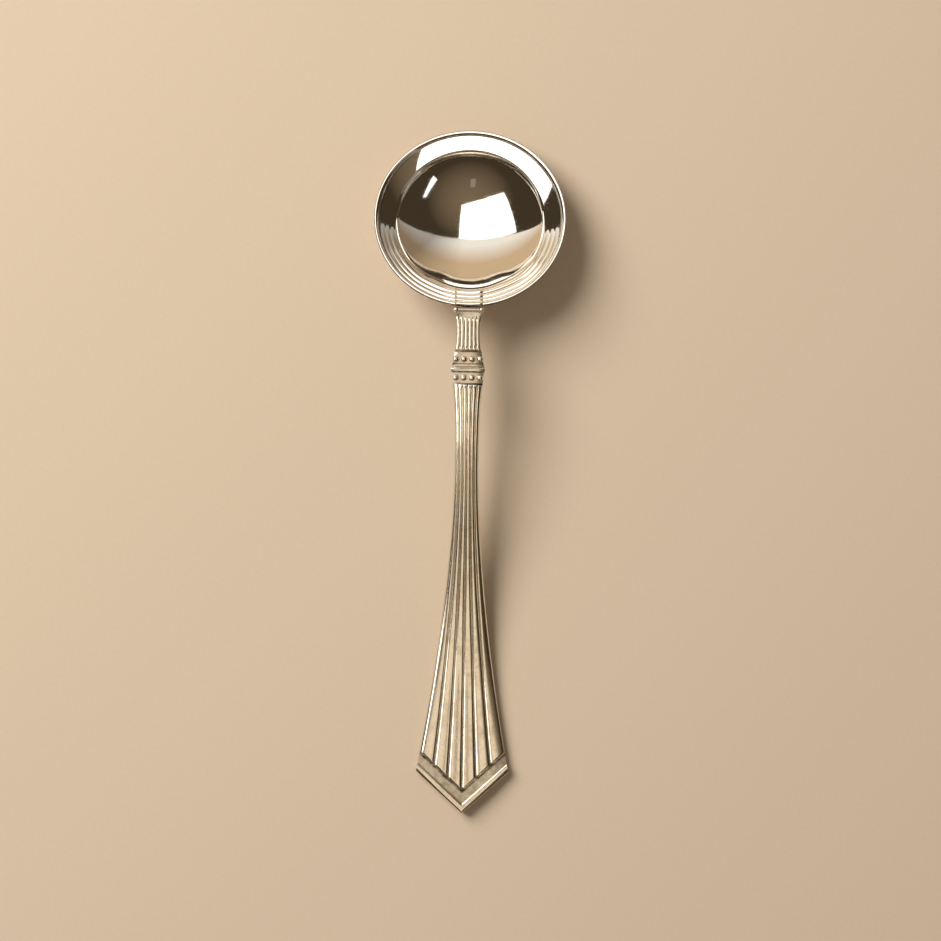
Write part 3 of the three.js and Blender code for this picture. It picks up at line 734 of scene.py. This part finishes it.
def front_place(column, row, above):
    share, from_edge = reed_spot(int(clamp(column - WALL_COLUMNS, 0, REEDED_COLUMNS)))
    side = 2 * share - 1
    edge_y = rows[max(0, row - WALL_COLUMNS)]
    past_reeds = column - REEDED_COLUMNS - WALL_COLUMNS
    over = max(0, WALL_COLUMNS - column, past_reeds, WALL_COLUMNS - row) / WALL_COLUMNS
    half = half_width(edge_y)
    y = row_place(edge_y, side)
    if not above:
        return on_spine(side * half, y, film / 2)
    relief = front_relief(from_edge, edge_y)
    # The grooves between the reeds are darkened, in thin lines where the reeds are narrow: tarnish and
    # painted shade. The chevron band is evenly darkened and the side walls a little.
    sulphide_and_shade_factor = lerp(7.0, 2.2, smoothstep(half_width(edge_y), 3.2, 8.0))
    sulphide_and_shade = clamp(1 - sulphide_and_shade_factor * relief) if edge_y > reed_end - 0.3 else 0.45
    height = ground(side, y) + reed_height * relief
    height += panel_camber * relief * (1 - (1 - 2 * from_edge) ** 2) * towards_tip(edge_y)
    return on_spine(side * half, y, lerp(height, film / 2 + 0.02, over)) + (0.1 if over else sulphide_and_shade,)


front_mesh = block(REEDED_COLUMNS + 2 * WALL_COLUMNS, len(rows) - 1 + WALL_COLUMNS, front_place)
handle_front = finished("handle_front", front_mesh, worn_silver, ["handle_front_shell"], 50)
handle_pieces.append(handle_front)


def back_place(column, row, below):
    side = 2 * column / 48 - 1
    edge_y = rows[max(0, row - 4)]
    share = (0, 0.5, 0.75, 0.92, 1)[min(row, 4)]
    inward = (0, 0.02, 0.12, 0.3, 0.3)[min(row, 4)] if edge_y == corner_y else 0
    y = row_place(edge_y, side) + inward
    depth = back_depth(y) * share * math.sqrt(min(1.0, (1 - abs(side)) / back_edge_round))
    return on_spine(side * half_width(edge_y), y, -film / 2 - depth * below) + (0.1,)


back_mesh = block(48, len(rows) + 3, back_place)
handle_back = finished("handle_back", back_mesh, worn_silver, ["handle_back_shell"], 50)
handle_pieces.append(handle_back)


def moulding_place(column, row, above):
    side = 2 * column / 96 - 1
    v = row / 20
    edge_y = lerp(corner_y, corner_y + moulding_width / math.cos(chevron), v)
    half = half_width(edge_y)
    y = edge_y - half * arm_rise * (1 - abs(side))
    bulge = math.sqrt(max(0.0, 1 - (2 * v - 1) ** 2))
    height = ground(side, y) + film + above * (0.1 + 0.55 * bulge)
    # The moulding darkens along its edges: tarnish and painted shade.
    return on_spine(side * half, y, height) + (0.2 * (1 - bulge),)


moulding_mesh = block(96, 20, moulding_place)
tip_moulding = finished("tip_moulding", moulding_mesh, worn_silver, ["tip_moulding"], 50)
handle_pieces.append(tip_moulding)

# ---------- table, light and camera ----------


def paper(name, shade, grain):
    """Matt drawing paper, with a faint grain."""
    material = bpy.data.materials.new(name)
    material.use_nodes = True
    tree = material.node_tree
    shader = tree.nodes["Principled BSDF"]
    place = add_node(tree, "TexCoord").outputs["Object"]
    flecks = {"Vector": place, "Scale": 1 / (1.1 * MM), "Detail": 4.0}
    fleck = add_node(tree, "TexNoise", flecks).outputs["Fac"]
    body = add_node(
        tree, "Mix", {"Factor": fleck, "A": colour(shade), "B": colour(grain)}, data_type="RGBA"
    )
    tree.links.new(body.outputs["Result"], shader.inputs["Base Color"])
    shader.inputs["Roughness"].default_value = 0.95
    shader.inputs["Specular IOR Level"].default_value = 0.15
    tooth = add_node(tree, "Bump", {"Height": fleck, "Strength": 0.25, "Distance": 0.00008})
    tree.links.new(tooth.outputs["Normal"], shader.inputs["Normal"])
    return material


def glow(name, shade, strength):
    material = bpy.data.materials.new(name)
    material.use_nodes = True
    tree = material.node_tree
    tree.nodes.clear()
    light = add_node(tree, "Emission", {"Color": colour(shade), "Strength": strength})
    add_node(tree, "OutputMaterial", {"Surface": light.outputs["Emission"]})
    return material


def lit_paper():
    """The paper sweep behind the bowl: almost white at the top, beige below, and dimmer on the right."""
    material = glow("lit_paper", "#E2CDB2", 1.0)
    tree = material.node_tree
    place = add_node(tree, "SeparateXYZ", {"Vector": add_node(tree, "TexCoord").outputs["Object"]})
    high = add_node(
        tree, "MapRange", {"Value": place.outputs["Z"], "From Min": 0.6, "From Max": 1.5}
    ).outputs["Result"]
    shade = add_node(
        tree, "Mix", {"Factor": high, "A": colour("#C9AE8C"), "B": colour("#EFE9DE")}, data_type="RGBA"
    ).outputs["Result"]
    dim = add_node(
        tree,
        "MapRange",
        {"Value": place.outputs["X"], "From Min": 0.2, "From Max": 1.5, "To Min": 1.05, "To Max": 0.42},
    ).outputs["Result"]
    light = tree.nodes["Emission"]
    tree.links.new(shade, light.inputs["Color"])
    tree.links.new(dim, light.inputs["Strength"])
    return material


def card(name, corners, material):
    """A flat card of the studio, in metres. Cards light the ladle and show in its silver only."""
    bm = bmesh.new()
    bmesh.ops.contextual_create(bm, geom=[bm.verts.new(corner) for corner in corners])
    mesh = bpy.data.meshes.new(name)
    bm.to_mesh(mesh)
    bm.free()
    mesh.materials.append(material)
    made = bpy.data.objects.new(name, mesh)
    bpy.context.collection.objects.link(made)
    made.visible_camera = False
    made.visible_diffuse = False
    made.visible_shadow = False
    return made


table_reach = 2.6
table_bm = bmesh.new()
bmesh.ops.create_circle(table_bm, cap_ends=True, segments=96, radius=table_reach)
table_mesh = bpy.data.meshes.new("table")
table_bm.to_mesh(table_mesh)
table_bm.free()
table_mesh.materials.append(paper("pale_paper", "#DCCAB4", "#D7C4AC"))
table = bpy.data.objects.new("table", table_mesh)
bpy.context.collection.objects.link(table)

bowl_middle = Vector((0, rim_centre * MM, rim_height * MM))


def towards(direction, distance):
    """A point seen from the bowl in a direction, at a distance in metres."""
    return bowl_middle + Vector(direction) * distance


# Corners of the cards, as directions from the bowl.
softbox_corners = (
    (0.144, 0.070, 0.987),
    (-0.530, -0.145, 0.836),
    (-0.665, 0.510, 0.546),
    (0.167, 0.638, 0.751),
)
window_corners = ((0.72, -0.015, 0.69), (0.575, -0.39, 0.72), (0.525, -0.34, 0.78), (0.68, -0.03, 0.73))
stand_corners = (
    (-0.075, -0.245, 0.966),
    (0.005, -0.240, 0.971),
    (0.000, -0.375, 0.927),
    (-0.085, -0.385, 0.919),
)
softbox = card(
    "softbox", [towards(way, 1.5) for way in softbox_corners], glow("softbox_cloth", "#FFFAF2", 2.0)
)
window = card(
    "strip_window", [towards(way, 1.4) for way in window_corners], glow("window_light", "#FFFFFF", 1.6)
)
stand = card(
    "camera_stand", [towards(way, 0.62) for way in stand_corners], glow("stand_grey", "#8F8474", 1.0)
)

# The backdrop stands upright behind the bowl. Its outline is (across, up), in shares of its distance.
back_y = 1.7
backdrop_outline = (
    (3.3, 0),
    (3.3, 0.555),
    (1.094, 1.072),
    (0.137, 1.192),
    (-1.12, 1.054),
    (-3.07, 0.403),
    (-3.07, 0),
)
card(
    "backdrop",
    [bowl_middle + Vector((across * back_y, back_y, up * back_y)) for across, up in backdrop_outline],
    lit_paper(),
)


def lamp(name, size, energy, shade, place, aim):
    """A soft lamp, sizes in metres, from place towards aim. A round one has one size."""
    data = bpy.data.lights.new(name, "AREA")
    data.shape = "RECTANGLE" if len(size) > 1 else "DISK"
    data.size, data.size_y = size[0], size[-1]
    data.energy, data.color = energy, colour(shade)[:3]
    made = bpy.data.objects.new(name, data)
    bpy.context.collection.objects.link(made)
    made.location = place
    made.rotation_euler = (Vector(place) - Vector(aim)).to_track_quat("Z", "Y").to_euler()
    return made


def shines_on(lights, pieces):
    """Keeps lights to some pieces, so that each finish gets the reflections that show its form."""
    lit = bpy.data.collections.new("lit_by_" + lights[0].name)
    for piece in pieces:
        lit.objects.link(piece)
    for light in lights:
        light.light_linking.receiver_collection = lit


key_turn, key_height = math.radians(141), math.radians(41)
key_flat = math.cos(key_height)
key_way = Vector((math.cos(key_turn) * key_flat, math.sin(key_turn) * key_flat, math.sin(key_height)))
# The key lights the table and makes the shadows. It isn't mirrored, because the softbox stands for it.
key = lamp("key", (0.95,), 23.5, "#FFFAF4", key_way * 1.4, (0, 0, 0))
key.visible_glossy = False
# These two are mirrored in the neck and handle: a bright line on the left of each reed, and beige on top.
handle_side = lamp("handle_side_light", (1.6, 0.5), 10.0, "#FFF8EE", (-0.85, 0.35, 0.85), (0, 0, 0))
handle_top = lamp("handle_top_light", (1.05, 1.8), 5.3, "#EAD9C2", (-0.09, -0.3, 1.2), (-0.09, -0.3, 0))

shines_on([softbox, window, stand], bowl_pieces)
shines_on([handle_side, handle_top], handle_pieces)

# The room is dark brown to the silver, even and grey to the table, and pale paper to the camera.
world = bpy.data.worlds.new("studio")
bpy.context.scene.world = world
world.use_nodes = True
sky = world.node_tree
sky.nodes.clear()
aim = add_node(sky, "TexCoord").outputs["Generated"]
height = add_node(sky, "SeparateXYZ", {"Vector": aim}).outputs["Z"]
rise = add_node(
    sky, "MapRange", {"Value": height, "From Min": 0.74, "From Max": 1.0}
).outputs["Result"]
room = add_node(
    sky, "Mix", {"Factor": rise, "A": colour("#3E3426"), "B": colour("#776650")}, data_type="RGBA"
).outputs["Result"]
path = add_node(sky, "LightPath")
even_light = {"Factor": path.outputs["Is Diffuse Ray"], "A": room, "B": colour("#878075")}
soft = add_node(sky, "Mix", even_light, data_type="RGBA").outputs["Result"]
pale_wall = {"Factor": path.outputs["Is Camera Ray"], "A": soft, "B": colour("#DCC7AB")}
seen = add_node(sky, "Mix", pale_wall, data_type="RGBA").outputs["Result"]
background = add_node(sky, "Background", {"Color": seen, "Strength": 1.0})
add_node(sky, "OutputWorld", {"Surface": background.outputs["Background"]})

camera_data = bpy.data.cameras.new("camera")
camera_data.lens, camera_data.sensor_width = 93.7, 36.0
camera_data.clip_start, camera_data.clip_end = 0.01, 20.0
camera = bpy.data.objects.new("camera", camera_data)
bpy.context.collection.objects.link(camera)
camera.location = (1.05 * MM, 0.63 * MM, 0.65)
camera.rotation_euler = (0, 0, math.radians(0.85))
scene = bpy.context.scene
scene.camera = camera
scene.view_settings.view_transform = "Standard"
